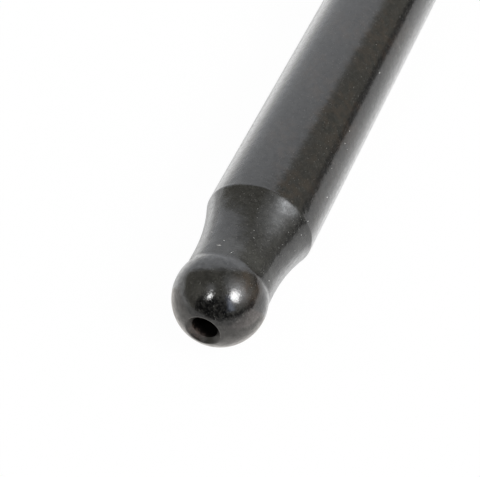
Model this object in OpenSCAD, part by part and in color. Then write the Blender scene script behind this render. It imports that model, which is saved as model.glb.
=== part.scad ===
// One-piece engine pushrod: a seamless steel tube whose two ends are swaged down to a neck
// and formed into ball tips, with an oil passage that runs from tip to tip.
// The rod's axis is X, and the origin lies on it, midway between the tips.

/* [Tube] */
// Overall length over the two balls, as if their tips were whole
overall_length = 210.3; // [120:0.1:320]
// Outside diameter of the tube
tube_dia = 9.525; // [8.8:0.005:12.7]
// Wall thickness of the tube
tube_wall = 2.03; // [1.2:0.01:3]

/* [Ball ends] */
// Diameter of each ball
ball_dia = 7.9375; // [6.35:0.0125:8.6]
// Step in radius from the ball down to the neck behind it
neck_step = 0.24; // [0.15:0.01:0.6]
// Length of the parallel part of the neck, from the ball to the start of the flare
neck_land = 1.4; // [0.4:0.1:3]
// Radius of the concave flare that leads from the neck out to the tube
flare_radius = 17.7; // [10:0.1:40]
// Radius of the rounded shoulder where the flare runs out into the tube
shoulder_radius = 0.5; // [0.3:0.05:3]
// Radius of the fillet in the crease between the ball and the neck
crease_radius = 1.5; // [0.3:0.1:2.5]

/* [Oil passage] */
// Diameter of the oil hole through each ball
oil_hole_dia = 2.25; // [1.5:0.01:2.7]
// Diameter of the countersink at the mouth of the oil hole
countersink_dia = 3; // [2.8:0.05:4]
// Included angle of the countersink
countersink_angle = 90; // [60:1:120]
// Radius of the rounded rim between the ball and the countersink
rim_radius = 0.15; // [0.05:0.01:0.3]

/* [Hidden] */
$fn = 96;

oxide_black = [0.16, 0.16, 0.155];
// Distance by which a cut runs clear of the face it opens
clear = 1;
// Depth by which each blending arc bites into the surface it blends with
blend_bite = 0.001;

tube_r = tube_dia / 2;
ball_r = ball_dia / 2;
neck_r = ball_r - neck_step;
bore_r = tube_r - tube_wall;
oil_hole_r = oil_hole_dia / 2;
countersink_r = countersink_dia / 2;

// Each end is drawn as a half profile with the ball's centre at its origin: the first coordinate
// is the radius, and the second runs along the axis towards the middle of the rod.
ball_to_middle = overall_length / 2 - ball_r;
neck_start = sqrt(pow(ball_r, 2) - pow(neck_r, 2));
flare_start = neck_start + neck_land;
flare_centre = [neck_r + flare_radius - blend_bite, flare_start];

// The shoulder's arc meets the tube from inside and the flare from outside.
shoulder_centre_r = tube_r - shoulder_radius + blend_bite;
shoulder_reach = flare_radius + shoulder_radius - blend_bite;
shoulder_end = flare_start + sqrt(pow(shoulder_reach, 2) - pow(flare_centre.x - shoulder_centre_r, 2));
shoulder_centre = [shoulder_centre_r, shoulder_end];
shoulder_to_flare = (flare_centre - shoulder_centre) / norm(flare_centre - shoulder_centre);

// The crease's fillet meets the ball and the neck from outside.
crease_centre_r = neck_r + crease_radius - blend_bite;
crease_reach = ball_r + crease_radius - blend_bite;
crease_centre = [crease_centre_r, sqrt(pow(crease_reach, 2) - pow(crease_centre_r, 2))];

// The countersink's sharp rim would lie on the ball.
sink_slope = countersink_angle / 2;
sink_rim = [countersink_r, -sqrt(pow(ball_r, 2) - pow(countersink_r, 2))];
sink_bottom = sink_rim.y + (countersink_r - oil_hole_r) / tan(sink_slope);
sink_mouth = sink_rim + clear * [tan(sink_slope), -1];

// The rounded rim's arc meets the ball and the countersink from inside the steel.
sink_down = [-sin(sink_slope), cos(sink_slope)];
sink_to_steel = [cos(sink_slope), sin(sink_slope)];
rim_offset = sink_rim + (rim_radius - blend_bite) * sink_to_steel;
rim_reach = ball_r - rim_radius + blend_bite;
rim_along = -rim_offset * sink_down;
rim_shift = rim_along - sqrt(pow(rim_along, 2) - rim_offset * rim_offset + pow(rim_reach, 2));
rim_centre = rim_offset + rim_shift * sink_down;

// Draws a shape of the end's profile at both ends of the rod
module at_both_ends() {
    for (side = [0, 1])
        mirror([0, side])
            translate([0, -ball_to_middle])
                children();
}

// Half of the ball, on the side of the axis that is revolved
module ball_half() {
    intersection() {
        circle(ball_r);
        translate([0, -ball_r - clear]) square([ball_r + clear, ball_dia + 2 * clear]);
    }
}

// What the swaging takes off the tube from the neck to the shoulder
module flare_cut() {
    translate(flare_centre) circle(flare_radius);
    translate([neck_r, -clear]) square([flare_radius, flare_start + clear]);
}

// What rounding takes off a corner, between the directions from the arc's centre to the two sides
module corner_cut(centre, radius, to_one_side, to_other_side) {
    difference() {
        polygon([
            centre,
            centre + 2 * radius * to_one_side,
            centre + 2 * radius * to_other_side,
        ]);
        translate(centre) circle(radius);
    }
}

// Rounded shoulder between flare and tube
module shoulder_cut() {
    corner_cut(shoulder_centre, shoulder_radius, [1, 0], shoulder_to_flare);
}

// Rounded rim between ball and countersink
module rim_cut() {
    corner_cut(rim_centre, rim_radius, rim_centre / norm(rim_centre), -sink_to_steel);
}

// What the fillet adds in the crease between ball and neck
module crease_fill() {
    difference() {
        polygon([[0, 0], crease_centre, [0, crease_centre.y]]);
        translate(crease_centre) circle(crease_radius);
    }
}

// Oil passage from tip to tip: countersink, oil hole, and the tube's bore beyond the swaged stretch
module passage() {
    half = [
        [0, sink_mouth.y - ball_to_middle],
        [sink_mouth.x, sink_mouth.y - ball_to_middle],
        [oil_hole_r, sink_bottom - ball_to_middle],
        [oil_hole_r, flare_start - ball_to_middle],
        [bore_r, shoulder_end - ball_to_middle],
    ];
    other_half = [for (i = [len(half) - 1 : -1 : 0]) [half[i].x, -half[i].y]];
    polygon(concat(half, other_half));
}

// Section of the rod on one side of its axis
module rod_profile() {
    difference() {
        union() {
            difference() {
                translate([0, -ball_to_middle]) square([tube_r, 2 * ball_to_middle]);
                at_both_ends() {
                    flare_cut();
                    shoulder_cut();
                }
            }
            at_both_ends() {
                ball_half();
                crease_fill();
            }
        }
        passage();
        at_both_ends() rim_cut();
    }
}

module pushrod() {
    color(oxide_black)
        rotate([0, 90, 0])
            rotate_extrude() rod_profile();
}

pushrod();
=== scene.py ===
import math
import random

import bpy
from mathutils import Matrix, Vector


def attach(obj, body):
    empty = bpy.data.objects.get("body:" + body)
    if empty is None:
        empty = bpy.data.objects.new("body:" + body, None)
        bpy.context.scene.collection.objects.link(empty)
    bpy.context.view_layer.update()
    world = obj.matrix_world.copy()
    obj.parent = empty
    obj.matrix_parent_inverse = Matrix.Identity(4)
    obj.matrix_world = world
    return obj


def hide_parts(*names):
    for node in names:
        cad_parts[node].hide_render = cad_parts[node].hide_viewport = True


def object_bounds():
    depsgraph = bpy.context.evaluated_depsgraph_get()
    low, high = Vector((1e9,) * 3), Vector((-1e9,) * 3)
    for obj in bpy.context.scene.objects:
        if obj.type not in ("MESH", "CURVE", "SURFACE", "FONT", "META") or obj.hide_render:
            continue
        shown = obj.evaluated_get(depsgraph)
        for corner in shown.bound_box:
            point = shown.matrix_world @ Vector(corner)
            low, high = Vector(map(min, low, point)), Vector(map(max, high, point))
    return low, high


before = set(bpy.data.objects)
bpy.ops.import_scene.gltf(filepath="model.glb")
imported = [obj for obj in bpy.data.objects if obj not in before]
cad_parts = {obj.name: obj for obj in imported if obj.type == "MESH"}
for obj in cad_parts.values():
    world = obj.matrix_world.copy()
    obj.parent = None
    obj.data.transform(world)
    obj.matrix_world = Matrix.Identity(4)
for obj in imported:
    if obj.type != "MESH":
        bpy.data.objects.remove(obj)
cad_low, cad_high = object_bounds()

# Sizes of the rod in metres, as in the CAD source
MM = 0.001
ROD_LENGTH = 210.3 * MM
TUBE_R = 4.7625 * MM
BORE_R = 2.7325 * MM
BALL_R = 3.96875 * MM
NECK_R = BALL_R - 0.24 * MM
NECK_LAND = 1.4 * MM
FLARE_R = 17.7 * MM
SHOULDER_R = 0.5 * MM
CREASE_R = 1.5 * MM
OIL_HOLE_R = 1.125 * MM
COUNTERSINK_R = 1.5 * MM
RIM_R = 0.15 * MM
# Angle between the countersink's wall and the rod's axis
SINK_SLOPE = math.radians(45)
# Place of the shown ball's centre along the rod
BALL_X = ROD_LENGTH / 2 - BALL_R

# Fineness of the rod's mesh
AROUND = 160
TUBE_STEPS = 40
ARC_STEP = 0.12 * MM
RIM_STEP = RIM_R / 8
CREASE_STEP = CREASE_R / 30
SHOULDER_STEP = SHOULDER_R / 16
SHARP_ANGLE = math.radians(25)


def arc(centre, radius, start, end, step=ARC_STEP):
    """Points of an arc in the (radius, distance) plane, from one angle to the other."""
    count = math.ceil(abs(end - start) * radius / step)
    points = []
    for i in range(count + 1):
        angle = start + (end - start) * i / count
        points.append((centre[0] + radius * math.cos(angle), centre[1] + radius * math.sin(angle)))
    return points


def end_profile():
    """The outside and the passage of one end: (radius, distance from the ball's centre to the middle)."""
    crease_r = NECK_R + CREASE_R
    crease_s = math.sqrt((BALL_R + CREASE_R) ** 2 - crease_r ** 2)
    flare_r = NECK_R + FLARE_R
    flare_s = math.sqrt(BALL_R ** 2 - NECK_R ** 2) + NECK_LAND
    corner_r = TUBE_R - SHOULDER_R
    corner_s = flare_s + math.sqrt((FLARE_R + SHOULDER_R) ** 2 - (flare_r - corner_r) ** 2)

    # The rounded rim's arc meets the ball and the countersink's wall from inside the steel.
    sink_s = -math.sqrt(BALL_R ** 2 - COUNTERSINK_R ** 2)
    wall_offset = COUNTERSINK_R * math.cos(SINK_SLOPE) + sink_s * math.sin(SINK_SLOPE)
    rim_reach = BALL_R - RIM_R
    rim_turn = SINK_SLOPE + math.asin((wall_offset + RIM_R) / rim_reach)
    rim = (rim_reach * math.sin(rim_turn), -rim_reach * math.cos(rim_turn))

    ball_start = math.atan2(rim[1], rim[0])
    ball_end = math.atan2(crease_s, crease_r)
    flare_end = math.atan2(corner_s - flare_s, corner_r - flare_r)
    outside = arc(rim, RIM_R, SINK_SLOPE - math.pi, ball_start, RIM_STEP)
    outside += arc((0, 0), BALL_R, ball_start, ball_end)[1:]
    outside += arc((crease_r, crease_s), CREASE_R, ball_end + math.pi, math.pi, CREASE_STEP)[1:]
    outside += arc((flare_r, flare_s), FLARE_R, math.pi, flare_end)
    outside += arc((corner_r, corner_s), SHOULDER_R, flare_end - math.pi, 0, SHOULDER_STEP)[1:]

    mouth_s = sink_s + (COUNTERSINK_R - OIL_HOLE_R) / math.tan(SINK_SLOPE)
    passage = [(OIL_HOLE_R, mouth_s), (OIL_HOLE_R, flare_s), (BORE_R, corner_s)]
    return outside, passage


END_OUTSIDE, END_PASSAGE = end_profile()


def add_object(name, data):
    """A new object in the scene."""
    obj = bpy.data.objects.new(name, data)
    bpy.context.scene.collection.objects.link(obj)
    return obj


def add_mesh(name, verts, faces, material):
    """A new object in the scene, with a mesh of one material."""
    mesh = bpy.data.meshes.new(name)
    mesh.from_pydata(verts, [], faces)
    mesh.materials.append(material)
    return add_object(name, mesh)


def revolve(loop):
    """Corners and faces of a closed loop of (x, radius) points, turned about the rod's axis."""
    verts = []
    for x, radius in loop:
        for step in range(AROUND):
            turn = 2 * math.pi * step / AROUND
            verts.append((x, radius * math.cos(turn), radius * math.sin(turn)))
    faces = []
    for ring in range(len(loop)):
        here = ring * AROUND
        there = (ring + 1) % len(loop) * AROUND
        for step in range(AROUND):
            after = (step + 1) % AROUND
            faces.append((here + step, there + step, there + after, here + after))
    return verts, faces


def build_rod(material):
    """The rod as one closed skin: along its outside from the shown end, and back through its passage."""
    shown = [(BALL_X - s, r) for r, s in END_OUTSIDE]
    hidden = [(s - BALL_X, r) for r, s in reversed(END_OUTSIDE)]
    tube_start = shown[-1][0]
    tube = []
    for i in range(1, TUBE_STEPS):
        tube.append((tube_start * (1 - 2 * i / TUBE_STEPS), TUBE_R))
    back = [(s - BALL_X, r) for r, s in END_PASSAGE]
    forth = [(BALL_X - s, r) for r, s in reversed(END_PASSAGE)]
    verts, faces = revolve(shown + tube + hidden + back + forth)
    obj = add_mesh("rod", verts, faces, material)
    obj.data.shade_smooth()
    obj.data.set_sharp_from_angle(angle=SHARP_ANGLE)
    return obj


# Node helpers
class Nodes:
    """A material's node tree, built one named call at a time."""

    def __init__(self, name):
        self.material = bpy.data.materials.new(name)
        self.material.use_nodes = True
        self.tree = self.material.node_tree
        self.tree.nodes.clear()
        self.output = self.tree.nodes.new("ShaderNodeOutputMaterial")

    def add(self, kind, **settings):
        """A new node with the settings given."""
        node = self.tree.nodes.new(kind)
        for key, value in settings.items():
            setattr(node, key, value)
        return node

    def put(self, socket, value):
        """Links a socket, or sets the constant on it. A colour is given as red, green and blue."""
        if isinstance(value, bpy.types.NodeSocket):
            self.tree.links.new(value, socket)
        elif socket.type == "RGBA":
            socket.default_value = (*value, 1)
        else:
            socket.default_value = value

    def surface(self, shader):
        """Ends the tree with a shader, and gives the finished material."""
        self.put(self.output.inputs["Surface"], shader.outputs[0])
        return self.material

    def emission(self, colour):
        """A shader that only gives off light."""
        node = self.add("ShaderNodeEmission")
        self.put(node.inputs["Color"], colour)
        return node

    def place(self):
        """Where a point lies on its object, in metres."""
        return self.add("ShaderNodeTexCoord").outputs["Object"]

    def outlook(self):
        """The direction in which the middle of the room sees a point of a panel."""
        node = self.add("ShaderNodeVectorMath", operation="NORMALIZE")
        self.put(node.inputs[0], self.place())
        return node.outputs["Vector"]

    def part(self, vector, axis):
        """One coordinate of a place or a direction."""
        node = self.add("ShaderNodeSeparateXYZ")
        self.put(node.inputs[0], vector)
        return node.outputs[axis]

    def math(self, operation, a, b=0.0):
        """The result of an operation on one or two numbers."""
        node = self.add("ShaderNodeMath", operation=operation)
        self.put(node.inputs[0], a)
        self.put(node.inputs[1], b)
        return node.outputs[0]

    def span(self, value, low, high, to_low=0.0, to_high=1.0):
        """A smooth step from to_low to to_high."""
        node = self.add("ShaderNodeMapRange", interpolation_type="SMOOTHSTEP")
        self.put(node.inputs["Value"], value)
        self.put(node.inputs["From Min"], low)
        self.put(node.inputs["From Max"], high)
        self.put(node.inputs["To Min"], to_low)
        self.put(node.inputs["To Max"], to_high)
        return node.outputs["Result"]

    def noise(self, where, scale, detail, rough=0.5):
        """A random pattern, with its scale in features per metre."""
        node = self.add("ShaderNodeTexNoise")
        self.put(node.inputs["Vector"], where)
        self.put(node.inputs["Scale"], scale)
        self.put(node.inputs["Detail"], detail)
        self.put(node.inputs["Roughness"], rough)
        return node.outputs["Fac"]

    def near(self, where, middle, reach, core=0.0):
        """A soft round patch: 1 within the core about its middle, 0 beyond its reach."""
        node = self.add("ShaderNodeVectorMath", operation="DISTANCE")
        self.put(node.inputs[0], where)
        self.put(node.inputs[1], middle)
        return self.span(node.outputs["Value"], reach, core)

    def pick(self, share, a, b):
        """Number a where share is 0, number b where it is 1."""
        node = self.add("ShaderNodeMix", data_type="FLOAT")
        self.put(node.inputs[0], share)
        self.put(node.inputs[2], a)
        self.put(node.inputs[3], b)
        return node.outputs[0]

    def blend(self, share, a, b):
        """Colour a where share is 0, colour b where it is 1."""
        node = self.add("ShaderNodeMix", data_type="RGBA")
        self.put(node.inputs[0], share)
        self.put(node.inputs[6], a)
        self.put(node.inputs[7], b)
        return node.outputs[2]


# Colours of the rod's finish
OXIDE = (0.0015, 0.0015, 0.0017)
WORN_OXIDE = (0.022, 0.0215, 0.0195)
BALL_HEAT = (0.036, 0.028, 0.023)
BROWN_HEAT = (0.030, 0.0210, 0.0145)
# Colour of the pale sheen painted along the crease
CREASE_PAINTED_SHEEN = (0.105, 0.105, 0.095)
# Colour of the pale highlight painted on the neck by the shoulder
PAINTED_HIGHLIGHT_GREY = (0.110, 0.113, 0.116)
FINE_DUST = (0.075, 0.075, 0.070)
SINK_BLACK = (0.010, 0.009, 0.007)
# Rust brown on one side of the countersink, which is also painted light for that lit side
SINK_RUST_AND_LIGHT = (0.085, 0.063, 0.054)
HOLE_BLACK = (0.003, 0.002, 0.0015)

# Fineness of the finish's patterns, in features per metre
CLOUDS = 260
SWELL = 650
MOTTLE = 1300
BLOTCH = 2400
PATINA = 3200
CRUST = 3600
GRAIN = 6000
DUST = 7000
LINES = 7000
SPECKLE = 9000
# How the pattern of lines is drawn out around the rod
LINES_SQUEEZE = (1, 0.15, 0.15)

# Distances from the ball's centre to the middle, between which one stretch fades into the next
BALL_FADE = (1.7 * MM, 0.9 * MM)
TUBE_FADE = (8.5 * MM, 9.0 * MM)
SHOULDER_FADE = (19 * MM, 9 * MM)
CREASE_START = (1.3 * MM, 1.9 * MM)
CREASE_END = (4.0 * MM, 2.6 * MM)
HOLE_FADE = (-3.37 * MM, -3.17 * MM)

# Where heat has tinted the shown ball brown
BALL_TINT = (BALL_X + 0.3 * MM, 2.7 * MM, 2.9 * MM)
# Where a pale highlight is painted on the neck by the shoulder
NECK_PAINTED_HIGHLIGHT = (BALL_X - 8.20 * MM, 2.45 * MM, 3.92 * MM)
NECK_PAINTED_HIGHLIGHT_END = (BALL_X - 8.25 * MM, 3.05 * MM, 3.45 * MM)
# The side of the shown oil hole's mouth that is rusty and painted lighter, as the cone's lit side
HOLE_RUST_AND_LIGHT = (BALL_X + 3.40 * MM, -0.85 * MM, -0.95 * MM)
# Furthest that the rust reaches down the hole
RUST_SPILL = 0.5 * MM
# Radii between which the outside's finish gives way to the hole's, on its clean side and on its rusty side
# that is painted lighter
MOUTH_OUTER = 1.56 * MM
MOUTH_CLEAN = 1.43 * MM
MOUTH_RUST_AND_LIGHT = 1.20 * MM

# Refraction index of the oxide, and roughness inside the hole
OXIDE_INDEX = 1.61
HOLE_ROUGHNESS = 0.40


class BlackOxide(Nodes):
    """Black oxide under a thin film of oil: near black, with a sheen that is clearest on the ball."""

    def __init__(self):
        super().__init__("black_oxide")
        self.at = self.place()
        from_middle = self.math("ABSOLUTE", self.part(self.at, "X"))
        self.from_ball = self.math("SUBTRACT", BALL_X, from_middle)
        self.on_ball = self.span(self.from_ball, *BALL_FADE)
        self.on_tube = self.span(self.from_ball, *TUBE_FADE)
        self.grain = self.noise(self.at, GRAIN, detail=3, rough=0.6)
        self.mottle = self.noise(self.at, MOTTLE, detail=4, rough=0.6)
        self.crust = self.noise(self.at, CRUST, detail=4, rough=0.65)
        self.patina = self.span(self.noise(self.at, PATINA, detail=3, rough=0.6), 0.38, 0.62)
        dust_start = self.by_stretch(neck=0.62, tube=0.65, ball=0.66)
        self.dust = self.span(self.noise(self.at, DUST, detail=2), dust_start, 0.74)
        self.in_hole, self.deep = self.hole_shares()

    def by_stretch(self, neck, tube, ball):
        """A number that differs between the neck, the tube and the ball."""
        return self.pick(self.on_ball, self.pick(self.on_tube, neck, tube), ball)

    def uneven(self, low, high):
        """A number that differs from grain to grain."""
        return self.span(self.grain, 0.2, 0.8, low, high)

    def hole_shares(self):
        """How far a place is inside the oil hole's mouth, and how far it is in the dark below."""
        across = self.part(self.at, "Y")
        upward = self.part(self.at, "Z")
        across_square = self.math("MULTIPLY", across, across)
        upward_square = self.math("MULTIPLY", upward, upward)
        from_axis = self.math("SQRT", self.math("ADD", across_square, upward_square))
        by_rust_and_light = self.near(self.at, HOLE_RUST_AND_LIGHT, reach=1.7 * MM, core=0.6 * MM)
        in_hole = self.span(from_axis, MOUTH_OUTER, self.pick(by_rust_and_light, MOUTH_CLEAN, MOUTH_RUST_AND_LIGHT))
        spill = self.math("MULTIPLY", by_rust_and_light, self.span(self.crust, 0.35, 0.65, 0.0, RUST_SPILL))
        deep = self.span(self.math("SUBTRACT", self.from_ball, spill), *HOLE_FADE)
        return in_hole, deep

    def wear(self):
        """How far the black is worn: speckled and patchy, in fine lines around the rod."""
        squeeze = self.add("ShaderNodeVectorMath", operation="MULTIPLY")
        self.put(squeeze.inputs[0], self.at)
        self.put(squeeze.inputs[1], LINES_SQUEEZE)
        lines = self.noise(squeeze.outputs["Vector"], LINES, detail=2)
        speckle = self.span(self.noise(self.at, SPECKLE, detail=2), 0.35, 0.65)
        patches = self.math("ADD", speckle, self.patina)
        wear_and_highlight = self.math("MULTIPLY", patches, self.span(lines, 0.30, 0.62, 0.3, 0.7))
        return self.math("MULTIPLY", wear_and_highlight, self.by_stretch(neck=1.0, tube=0.8, ball=wear_and_highlight))

    def outside_colour(self):
        """Worn black with brown heat tints, a painted sheen along the crease, a painted highlight on the
        neck and fine dust.
        """
        ball_tint = self.near(self.at, BALL_TINT, reach=2.0 * MM, core=0.6 * MM)
        clouds = self.noise(self.at, CLOUDS, detail=3)
        tube_tint = self.math("MULTIPLY", self.on_tube, self.span(clouds, 0.40, 0.60, 0.0, 0.55))
        tinted = self.math("MAXIMUM", tube_tint, ball_tint)
        brown = self.math("MULTIPLY", self.span(self.mottle, 0.40, 0.60), tinted)
        # Painted sheen: a pale band along the crease between ball and neck, where its rim mirrors the white
        # room
        past_ball = self.span(self.from_ball, *CREASE_START)
        crease_sheen = self.math("MULTIPLY", past_ball, self.span(self.from_ball, *CREASE_END))
        # Painted highlight: a pale patch on the neck by the shoulder, where the neck mirrors the lamp's
        # glow, mottled by the patina
        wear_and_highlight = self.near(self.at, NECK_PAINTED_HIGHLIGHT, reach=0.9 * MM, core=0.1 * MM)
        highlight_end = self.near(self.at, NECK_PAINTED_HIGHLIGHT_END, reach=0.8 * MM, core=0.1 * MM)
        wear_and_highlight = self.math("MAXIMUM", wear_and_highlight, self.math("MULTIPLY", highlight_end, 0.8))
        painted_highlight = self.math("MULTIPLY", wear_and_highlight, self.span(self.patina, 0.0, 1.0, 0.35, 1.0))

        colour = self.blend(self.wear(), OXIDE, WORN_OXIDE)
        colour = self.blend(self.math("MULTIPLY", ball_tint, 0.4), colour, BALL_HEAT)
        colour = self.blend(brown, colour, BROWN_HEAT)
        colour = self.blend(self.math("MULTIPLY", crease_sheen, 0.13), colour, CREASE_PAINTED_SHEEN)
        colour = self.blend(painted_highlight, colour, PAINTED_HIGHLIGHT_GREY)
        return self.blend(self.dust, colour, FINE_DUST)

    def hole_colour(self):
        """The countersink, rusty and painted lighter as if lit on one side, and the dark below it."""
        # Rust and painted light: one side of the countersink is rusty and painted lighter, as the side the
        # large lamp lights
        rust_and_light = self.near(self.at, HOLE_RUST_AND_LIGHT, reach=1.2 * MM, core=0.3 * MM)
        rust_and_light = self.math("MULTIPLY", rust_and_light, self.span(self.crust, 0.35, 0.62, 0.35, 1.0))
        sink = self.blend(rust_and_light, SINK_BLACK, SINK_RUST_AND_LIGHT)
        return self.blend(self.deep, sink, HOLE_BLACK)

    def oxide_roughness(self):
        """Roughness of the oxide itself, least on the ball."""
        neck = self.uneven(0.18, 0.28)
        tube = self.uneven(0.16, 0.24)
        ball = self.uneven(0.12, 0.22)
        return self.pick(self.in_hole, self.by_stretch(neck, tube, ball), HOLE_ROUGHNESS)

    def film_roughness(self):
        """Roughness of the film, least on the ball."""
        neck = self.uneven(0.06, 0.12)
        tube = self.uneven(0.08, 0.15)
        ball = self.uneven(0.03, 0.08)
        return self.by_stretch(neck, tube, ball)

    def film_weight(self):
        """How much film there is: blotchy, thin in the countersink, none in the hole or on dust."""
        thinnest = self.pick(self.on_ball, 0.74, 0.5)
        blotch = self.noise(self.at, BLOTCH, detail=5, rough=0.65)
        thickness = self.span(blotch, 0.36, 0.62, thinnest, 1.0)
        dry = self.math("MULTIPLY", self.in_hole, self.pick(self.deep, 0.7, 1.0))
        bare = self.math("MAXIMUM", dry, self.dust)
        return self.math("MULTIPLY", thickness, self.math("SUBTRACT", 1.0, bare))

    def film_index(self):
        """Refraction index of the film, which rises as the view grazes the surface, most on the tube."""
        facing = self.add("ShaderNodeLayerWeight").outputs["Facing"]
        neck = self.span(facing, 0.56, 0.88, 1.40, 6.4)
        tube = self.span(facing, 0.52, 0.66, 1.40, 1.85)
        tube = self.math("ADD", tube, self.span(facing, 0.63, 0.92, 0.0, 16.0))
        tube = self.math("ADD", tube, self.span(facing, 0.74, 0.95, 0.0, 50.0))
        ball = self.span(facing, 0.53, 0.86, 1.47, 2.6)
        return self.by_stretch(neck, tube, ball)

    def relief(self):
        """The fine unevenness of the surface: slow swells, ripples and grain, with heights in mm."""
        by_shoulder = self.math("MULTIPLY", self.on_tube, self.span(self.from_ball, *SHOULDER_FADE))
        swell_height = self.pick(self.on_tube, 0.05, 0.015)
        ripple_height = self.pick(self.on_tube, 0.016, self.pick(by_shoulder, 0.006, 0.024))
        grain_height = self.pick(self.on_tube, 0.009, 0.004)
        swells = self.math("MULTIPLY", self.noise(self.at, SWELL, detail=1), swell_height)
        ripples = self.math("MULTIPLY", self.mottle, ripple_height)
        grains = self.math("MULTIPLY", self.grain, grain_height)
        bump = self.add("ShaderNodeBump")
        self.put(bump.inputs["Distance"], MM)
        self.put(bump.inputs["Height"], self.math("ADD", self.math("ADD", ripples, grains), swells))
        return bump.outputs["Normal"]

    def finish(self):
        """The finished material."""
        normal = self.relief()
        shader = self.add("ShaderNodeBsdfPrincipled")
        colour = self.blend(self.in_hole, self.outside_colour(), self.hole_colour())
        self.put(shader.inputs["Base Color"], colour)
        self.put(shader.inputs["Roughness"], self.oxide_roughness())
        self.put(shader.inputs["IOR"], OXIDE_INDEX)
        self.put(shader.inputs["Normal"], normal)
        self.put(shader.inputs["Coat Weight"], self.film_weight())
        self.put(shader.inputs["Coat IOR"], self.film_index())
        self.put(shader.inputs["Coat Roughness"], self.film_roughness())
        self.put(shader.inputs["Coat Normal"], normal)
        return self.surface(shader)


# The rod stands for its CAD node
rod = build_rod(BlackOxide().finish())
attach(rod, "root")
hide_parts("pushrod")

# Specks on the shown end: distance from the ball's centre in mm, turn about the axis in degrees, size in mm
SPECKS_SHOWN = [
    (2.96, 103, 0.085),
    (4.05, 128, 0.085),
    (6.07, 78, 0.06),
    (4.84, 74, 0.07),
    (8.90, 26, 0.07),
    (12.87, 16, 0.09),
    (18.60, 30, 0.11),
    (20.09, 32, 0.09),
    (28.31, 32, 0.12),
]
# Lint on the shown end: distance, turn, length, width, and tilt in degrees towards the rod's length
LINT_SHOWN = [
    (2.36, 106, 0.55, 0.05, 4),
    (1.88, 86, 0.42, 0.018, 55),
]
# Specks scattered over the whole rod: number, least and greatest size in mm, and start by the tip
SPECKS_ELSEWHERE = 260
SPECK_SIZES = (0.03, 0.07)
SPECKS_START = -1.5 * MM
SPECKS_SEED = 7
# Colours of dust and lint, and the fineness of the change from one to the other
DUST_DARK = (0.55, 0.54, 0.51)
DUST_PALE = (0.80, 0.80, 0.78)
DUST_TONES = 900
DUST_ROUGHNESS = 0.9


def outside_radius(from_ball):
    """The rod's outer radius at a distance from the ball's centre to the middle."""
    for (r_a, s_a), (r_b, s_b) in zip(END_OUTSIDE, END_OUTSIDE[1:]):
        if s_a <= from_ball <= s_b:
            return r_a + (r_b - r_a) * (from_ball - s_a) / (s_b - s_a)
    return TUBE_R


def grain_of_dust(verts, faces, side, from_ball, turn, length, width, tilt=0.0):
    """One low, pointed grain of six corners, longest around the rod, or tilted from that to its length."""
    along = Vector((1, 0, 0))
    around = Vector((0, -math.sin(turn), math.cos(turn)))
    outward = Vector((0, math.cos(turn), math.sin(turn)))
    point = side * (BALL_X - from_ball) * along + outside_radius(from_ball) * outward
    lengthwise = math.cos(tilt) * around + math.sin(tilt) * along
    crosswise = math.cos(tilt) * along - math.sin(tilt) * around
    start = len(verts)
    for step in (length / 2 * lengthwise, width / 2 * crosswise, width / 2 * outward):
        verts.append(point + step)
        verts.append(point - step)
    a, b, c, d, top, bottom = range(start, start + 6)
    faces.extend([(a, c, top), (c, b, top), (b, d, top), (d, a, top)])
    faces.extend([(c, a, bottom), (b, c, bottom), (d, b, bottom), (a, d, bottom)])


def build_dust(material):
    """All specks and lint as one piece: those that stand out on the shown end, then the scattered ones."""
    chance = random.Random(SPECKS_SEED)
    verts = []
    faces = []
    for from_ball, turn, size in SPECKS_SHOWN:
        grain_of_dust(verts, faces, 1, from_ball * MM, math.radians(turn), size * MM, size * MM)
    for from_ball, turn, length, width, tilt in LINT_SHOWN:
        tilt = math.radians(tilt)
        grain_of_dust(verts, faces, 1, from_ball * MM, math.radians(turn), length * MM, width * MM, tilt)
    for _ in range(SPECKS_ELSEWHERE):
        side = chance.choice((-1, 1))
        from_ball = chance.uniform(SPECKS_START, BALL_X)
        turn = chance.uniform(0, 2 * math.pi)
        size = chance.uniform(*SPECK_SIZES) * MM
        grain_of_dust(verts, faces, side, from_ball, turn, size, size)
    return add_mesh("dust", verts, faces, material)


def pale_dust():
    """Pale grey dust, a little uneven from grain to grain."""
    n = Nodes("pale_dust")
    tone = n.noise(n.place(), DUST_TONES, detail=2)
    shader = n.add("ShaderNodeBsdfPrincipled")
    n.put(shader.inputs["Base Color"], n.blend(tone, DUST_DARK, DUST_PALE))
    n.put(shader.inputs["Roughness"], DUST_ROUGHNESS)
    return n.surface(shader)


# Dust and lint that lie on the rod
dust = build_dust(pale_dust())
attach(dust, "root")

# Sizes of the floor and the room in metres
ROOM_R = 2.6
FLOOR_HALF = 1.2 * ROOM_R
FLOOR_Z = cad_low[2]
CARD_LIFT = 0.1 * MM
# Distances of the panels that lie behind or before the room's other panels
ROOM_FAR = 1.1 * ROOM_R
GLOW_FAR = 1.04 * ROOM_R
FRINGE_FAR = 1.02 * ROOM_R
SWEEP_NEAR = 0.98 * ROOM_R
# Fineness of a panel: degrees from column to column, and the number of rows
PANEL_STEP = 3
PANEL_ROWS = 16

# The floor's paper, and its share of plain white as it is seen and as it is mirrored
FLOOR_PAPER = (0.90, 0.90, 0.90)
FLOOR_GLOW = (1, 1, 1)
SEEN_WHITE = 0.98
MIRRORED_WHITE = 0.4

# Bounds of the cards on the floor, along Y and along X
EDGE_Y = 80 * MM
SHADE_Y = 6 * MM
SHADE_FRONT = BALL_X + 20 * MM
SHADE_BACK = BALL_X - 3 * MM
CAST_FAR = -45 * MM
CAST_NEAR = 9 * MM
# Stretches along X over which two of the cards change colour
SIDE_RAMP = (BALL_X - 19 * MM, BALL_X - 11 * MM)
LIT_RAMP = (BALL_X - 1 * MM, BALL_X + 26 * MM)

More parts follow.
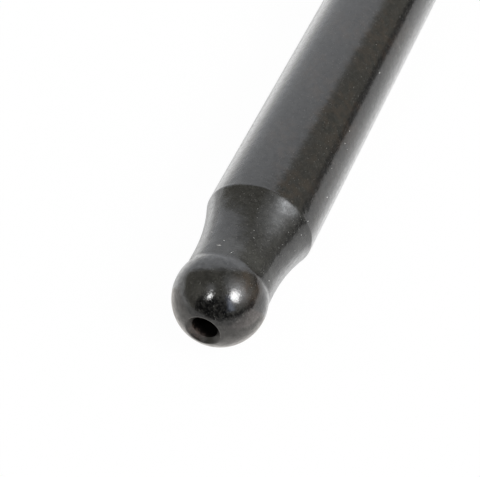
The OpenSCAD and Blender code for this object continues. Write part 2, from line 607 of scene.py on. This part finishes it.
# Places in the room are given as azimuth and elevation in degrees
BACKDROP_MIDDLE = 201
BACKDROP_HALF = 49
BACKDROP_TOP = 64
BACKDROP_ROUND = 2.5
BACKDROP_SPAN = (BACKDROP_MIDDLE - BACKDROP_HALF, BACKDROP_MIDDLE + BACKDROP_HALF)
# Dim corner and dim side of the backdrop, each with its reach on a sphere of radius 1
BACKDROP_CORNER = (154, 12)
BACKDROP_CORNER_REACH = 0.38
BACKDROP_SIDE = (-135, 20)
BACKDROP_SIDE_REACH = 0.50
# Heights of the backdrop's sheet and of the fringe behind it, as shares of the arch
SHEET_SHARE = 0.97
FRINGE_SHARE = 1.04
# Elevations between which the backdrop dims towards its top
BACKDROP_DIM = (49, 63)
# The low sweep on the left, and its height at its far end
SWEEP_SPAN = (-112, -12)
SWEEP_TOP = 7
# Middle of the glow about the large lamp, and how steeply it falls off
GLOW_MIDDLE = (86, 43)
GLOW_FALL = 15.0
# Heights of a unit direction between which the wall gives way to the ceiling
CEILING_FADE = (0.75, 0.92)
# Pale patch over the small lamp, and the paler part of the dark skirting, each with its reach
SMALL_GLOW = (-32, 63)
SMALL_GLOW_REACH = 0.32
SKIRTING_PALE = (116, 4)
PALE_REACH = 0.36
# Azimuths between which the other panels stand
FRONT_SPAN = (-37, 40)
LEFT_SPAN = (-75, FRONT_SPAN[0])
LAMP_EDGE_SPAN = (FRONT_SPAN[1], 54)
GLOW_SPAN = (LAMP_EDGE_SPAN[1], 165)
SKIRTING_SPAN = (FRONT_SPAN[1], BACKDROP_SPAN[0])
WHOLE_ROUND = (-180, 180)
# Elevation of the room's top
ZENITH = 89.9

# Colours of the room
WALL_OLIVE = (0.31, 0.30, 0.26)
CEILING_GREY = (0.50, 0.50, 0.48)
GLOW_WHITE = (2.66, 2.72, 2.80)
PATCH_WHITE = (0.95, 0.96, 0.97)
SKIRTING_GREY = (0.40, 0.39, 0.36)
SKIRTING_DARK = (0.05, 0.05, 0.05)
SHEET_WHITE = (0.95, 0.97, 1.01)
SHEET_SIDE = (0.83, 0.85, 0.88)
SHEET_HIGH = (0.46, 0.46, 0.45)
SHEET_CORNER = (0.40, 0.41, 0.42)


def direction(azimuth, elevation):
    """Unit vector to a place in the room: azimuth from +X to +Y, elevation over the floor, in degrees."""
    turn = math.radians(azimuth)
    rise = math.radians(elevation)
    return Vector((math.cos(rise) * math.cos(turn), math.cos(rise) * math.sin(turn), math.sin(rise)))


def plain_light(name, colour):
    """Light of one plain colour."""
    n = Nodes(name)
    return n.surface(n.emission(colour))


def graded_light(name, middle, reach, near_colour, far_colour):
    """Light that changes softly from one colour in the middle to another beyond the reach."""
    n = Nodes(name)
    share = n.near(n.outlook(), direction(*middle), reach)
    return n.surface(n.emission(n.blend(share, far_colour, near_colour)))


def ramp_light(name, ramp, start_colour, end_colour):
    """Light that changes softly along X from one colour to another."""
    n = Nodes(name)
    share = n.span(n.part(n.place(), "X"), *ramp)
    return n.surface(n.emission(n.blend(share, start_colour, end_colour)))


def backdrop_light(name):
    """Cool white that dims towards the top, in the lower corner and a little on one side."""
    n = Nodes(name)
    towards = n.outlook()
    dim_start, dim_end = (math.sin(math.radians(elevation)) for elevation in BACKDROP_DIM)
    high = n.span(n.part(towards, "Z"), dim_start, dim_end)
    side = n.near(towards, direction(*BACKDROP_SIDE), BACKDROP_SIDE_REACH)
    corner = n.near(towards, direction(*BACKDROP_CORNER), BACKDROP_CORNER_REACH)
    sheet = n.blend(side, SHEET_WHITE, SHEET_SIDE)
    sheet = n.blend(high, sheet, SHEET_HIGH)
    sheet = n.blend(corner, sheet, SHEET_CORNER)
    return n.surface(n.emission(sheet))


def lamp_glow(name):
    """Wall and ceiling with a glow that is strongest round one direction and falls off to all sides."""
    n = Nodes(name)
    towards = n.outlook()
    nearness = n.add("ShaderNodeVectorMath", operation="DOT_PRODUCT")
    n.put(nearness.inputs[0], towards)
    n.put(nearness.inputs[1], direction(*GLOW_MIDDLE))
    share = n.math("POWER", n.math("MAXIMUM", nearness.outputs["Value"], 0.0), GLOW_FALL)
    ceiling = n.span(n.part(towards, "Z"), *CEILING_FADE)
    wall = n.blend(ceiling, WALL_OLIVE, CEILING_GREY)
    return n.surface(n.emission(n.blend(share, wall, GLOW_WHITE)))


def white_floor():
    """A white floor that reads as white, and still takes a little of the rod's shadow."""
    n = Nodes("white_floor")
    path = n.add("ShaderNodeLightPath")
    mirrored = n.math("MAXIMUM", path.outputs["Is Glossy Ray"], path.outputs["Is Transmission Ray"])
    mirrored = n.math("MULTIPLY", mirrored, MIRRORED_WHITE)
    seen = n.math("MULTIPLY", path.outputs["Is Camera Ray"], SEEN_WHITE)
    paper = n.add("ShaderNodeBsdfDiffuse")
    n.put(paper.inputs["Color"], FLOOR_PAPER)
    mix = n.add("ShaderNodeMixShader")
    n.put(mix.inputs[0], n.math("MAXIMUM", seen, mirrored))
    n.put(mix.inputs[1], paper.outputs[0])
    n.put(mix.inputs[2], n.emission(FLOOR_GLOW).outputs[0])
    return n.surface(mix)


def oblong(back, front, right, left):
    """Corners of an oblong between two values of X and two of Y."""
    return [(back, right), (front, right), (front, left), (back, left)]


def flat_sheet(name, corners, height, material):
    """A level sheet with the corners given."""
    return add_mesh(name, [(x, y, height) for x, y in corners], [range(len(corners))], material)


def floor_card(name, corners, light):
    """A flat card just over the floor, seen only in the rod's sheen."""
    obj = flat_sheet(name, corners, FLOOR_Z + CARD_LIFT, light)
    obj.visible_camera = False
    obj.visible_diffuse = False
    obj.visible_shadow = False


def room_panel(name, azimuths, top, light, lowest=0, distance=ROOM_R):
    """A curved panel of the room around the rod, hidden from the camera; top gives its upper edge."""
    columns = math.ceil((azimuths[1] - azimuths[0]) / PANEL_STEP)
    verts = []
    for i in range(columns + 1):
        azimuth = azimuths[0] + (azimuths[1] - azimuths[0]) * i / columns
        for j in range(PANEL_ROWS + 1):
            elevation = lowest + (top(azimuth) - lowest) * j / PANEL_ROWS
            verts.append(distance * direction(azimuth, elevation))
    faces = []
    column = PANEL_ROWS + 1
    for i in range(columns):
        for j in range(PANEL_ROWS):
            corner = i * column + j
            faces.append((corner, corner + column, corner + column + 1, corner + 1))
    obj = add_mesh(name, verts, faces, light)
    obj.visible_camera = False


def level(elevation):
    """A panel's upper edge that is level."""
    return lambda azimuth: elevation


def arch(share):
    """The backdrop's upper edge times a share: high in the middle, rounded down at both sides."""
    def top(azimuth):
        aside = min(1.0, abs(azimuth - BACKDROP_MIDDLE) / BACKDROP_HALF)
        return share * BACKDROP_TOP * (1 - aside ** BACKDROP_ROUND) ** (1 / BACKDROP_ROUND)
    return top


def sweep_top(azimuth):
    """The upper edge of the sweep, which rises evenly from one end to the other."""
    return SWEEP_TOP * (SWEEP_SPAN[1] - azimuth) / (SWEEP_SPAN[1] - SWEEP_SPAN[0])


# The white floor
floor_corners = oblong(-FLOOR_HALF, FLOOR_HALF, -FLOOR_HALF, FLOOR_HALF)
floor = flat_sheet("floor", floor_corners, FLOOR_Z, white_floor())

# What the rod mirrors of the floor
edge_corners = oblong(-FLOOR_HALF, FLOOR_HALF, EDGE_Y, FLOOR_HALF)
front_corners = [
    (SHADE_FRONT, CAST_FAR),
    (FLOOR_HALF, -FLOOR_HALF),
    (FLOOR_HALF, EDGE_Y),
    (SHADE_FRONT, EDGE_Y),
]
side_corners = oblong(-FLOOR_HALF, SHADE_BACK, SHADE_Y, EDGE_Y)
lit_corners = oblong(SHADE_BACK, SHADE_FRONT, CAST_NEAR, EDGE_Y)
cast_corners = oblong(SHADE_BACK, SHADE_FRONT, CAST_FAR, CAST_NEAR)
edge_light = plain_light("floor_edge", (0.02, 0.02, 0.02))
front_light = plain_light("front_shade", (0.56, 0.555, 0.545))
side_light = ramp_light("side_shade", SIDE_RAMP, (0.74, 0.74, 0.74), (0.85, 0.85, 0.85))
lit_light = ramp_light("lit_floor", LIT_RAMP, (1.26, 1.17, 1.13), (0.60, 0.59, 0.575))
cast_light = plain_light("cast_shade", (0.77, 0.745, 0.715))
floor_card("floor_edge", edge_corners, edge_light)
floor_card("front_shade", front_corners, front_light)
floor_card("side_shade", side_corners, side_light)
floor_card("lit_floor", lit_corners, lit_light)
floor_card("cast_shade", cast_corners, cast_light)

# What the rod mirrors of the room
room_light = graded_light("room", SMALL_GLOW, SMALL_GLOW_REACH, PATCH_WHITE, WALL_OLIVE)
fringe_light = plain_light("backdrop_fringe", (0.50, 0.50, 0.49))
front_dark = plain_light("dark_front", (0.01, 0.01, 0.01))
skirting_light = graded_light("dark_skirting", SKIRTING_PALE, PALE_REACH, SKIRTING_GREY, SKIRTING_DARK)
left_light = plain_light("left_glow", (0.48, 0.47, 0.41))
lamp_edge_light = plain_light("lamp_edge", (0.96, 1.08, 1.36))
sweep_light = plain_light("left_sweep", (0.83, 0.83, 0.82))
room_panel("room", WHOLE_ROUND, level(ZENITH), room_light, distance=ROOM_FAR)
room_panel("backdrop_fringe", BACKDROP_SPAN, arch(FRINGE_SHARE), fringe_light, distance=FRINGE_FAR)
room_panel("backdrop", BACKDROP_SPAN, arch(SHEET_SHARE), backdrop_light("backdrop"))
room_panel("dark_front", FRONT_SPAN, level(48), front_dark)
room_panel("dark_skirting", SKIRTING_SPAN, level(8), skirting_light)
room_panel("left_glow", LEFT_SPAN, level(52), left_light, lowest=22)
room_panel("lamp_edge", LAMP_EDGE_SPAN, level(52), lamp_edge_light, lowest=14)
room_panel("lamp_glow", GLOW_SPAN, level(86), lamp_glow("lamp_glow"), lowest=9, distance=GLOW_FAR)
room_panel("left_sweep", SWEEP_SPAN, sweep_top, sweep_light, distance=SWEEP_NEAR)

# Two soft lamps that face the ball
BALL_CENTRE = Vector((BALL_X, 0, 0))
LAMP_DISTANCE = 0.9


def soft_lamp(name, azimuth, elevation, width, height, strength):
    """An oval lamp that faces the ball, with a power that grows with its size."""
    data = bpy.data.lights.new(name, "AREA")
    data.shape = "ELLIPSE"
    data.size = width
    data.size_y = height
    data.energy = strength * math.pi * width * height
    towards = direction(azimuth, elevation)
    lamp = add_object(name, data)
    lamp.location = BALL_CENTRE + LAMP_DISTANCE * towards
    lamp.rotation_euler = towards.to_track_quat("Z", "Y").to_euler()
    lamp.visible_camera = False


soft_lamp("small_lamp", azimuth=-17, elevation=49.3, width=0.17, height=0.23, strength=10.0)
soft_lamp("large_lamp", azimuth=71.5, elevation=42.0, width=0.41, height=0.43, strength=9.2)

# The white that the camera sees beyond the floor
world = bpy.data.worlds.new("studio")
world.use_nodes = True
background = world.node_tree.nodes["Background"]
background.inputs["Color"].default_value = (1, 1, 1, 1)
background.inputs["Strength"].default_value = 1.0
bpy.context.scene.world = world

# The camera, fitted to the rod's outline in the photograph
IMAGE_WIDTH = 480
IMAGE_HEIGHT = 477
FOCAL_PIXELS = 1750
BALL_PIXEL_ACROSS = 219.62
BALL_PIXEL_DOWN = 298.10
CAMERA_DISTANCE = 142.1 * MM
CLIP_START = 10 * MM
# Turn of the camera's view from +Y, and its dip below level, in degrees
CAMERA_TURN = 111.54
CAMERA_DIP = 46.49
# Width of the camera's sensor, in the millimetres that Blender's lenses are given in
SENSOR_WIDTH = 36


def place_camera():
    """The photograph's camera, which sees the ball's centre at the same pixel."""
    turn = math.radians(CAMERA_TURN)
    dip = math.radians(CAMERA_DIP)
    forward = Vector((-math.sin(turn) * math.cos(dip), math.cos(turn) * math.cos(dip), -math.sin(dip)))
    right = forward.cross(Vector((0, 0, 1))).normalized()
    up = right.cross(forward)
    across = (BALL_PIXEL_ACROSS - (IMAGE_WIDTH - 1) / 2) / FOCAL_PIXELS
    down = (BALL_PIXEL_DOWN - (IMAGE_HEIGHT - 1) / 2) / FOCAL_PIXELS
    to_ball = (forward + across * right - down * up).normalized()
    data = bpy.data.cameras.new("camera")
    data.sensor_width = SENSOR_WIDTH
    data.lens = FOCAL_PIXELS * SENSOR_WIDTH / IMAGE_WIDTH
    data.clip_start = CLIP_START
    camera = add_object("camera", data)
    axes = Matrix((right, up, -forward)).transposed()
    camera.matrix_world = Matrix.Translation(BALL_CENTRE - CAMERA_DISTANCE * to_ball) @ axes.to_4x4()
    bpy.context.scene.camera = camera


place_camera()
bpy.context.scene.view_settings.view_transform = "Standard"
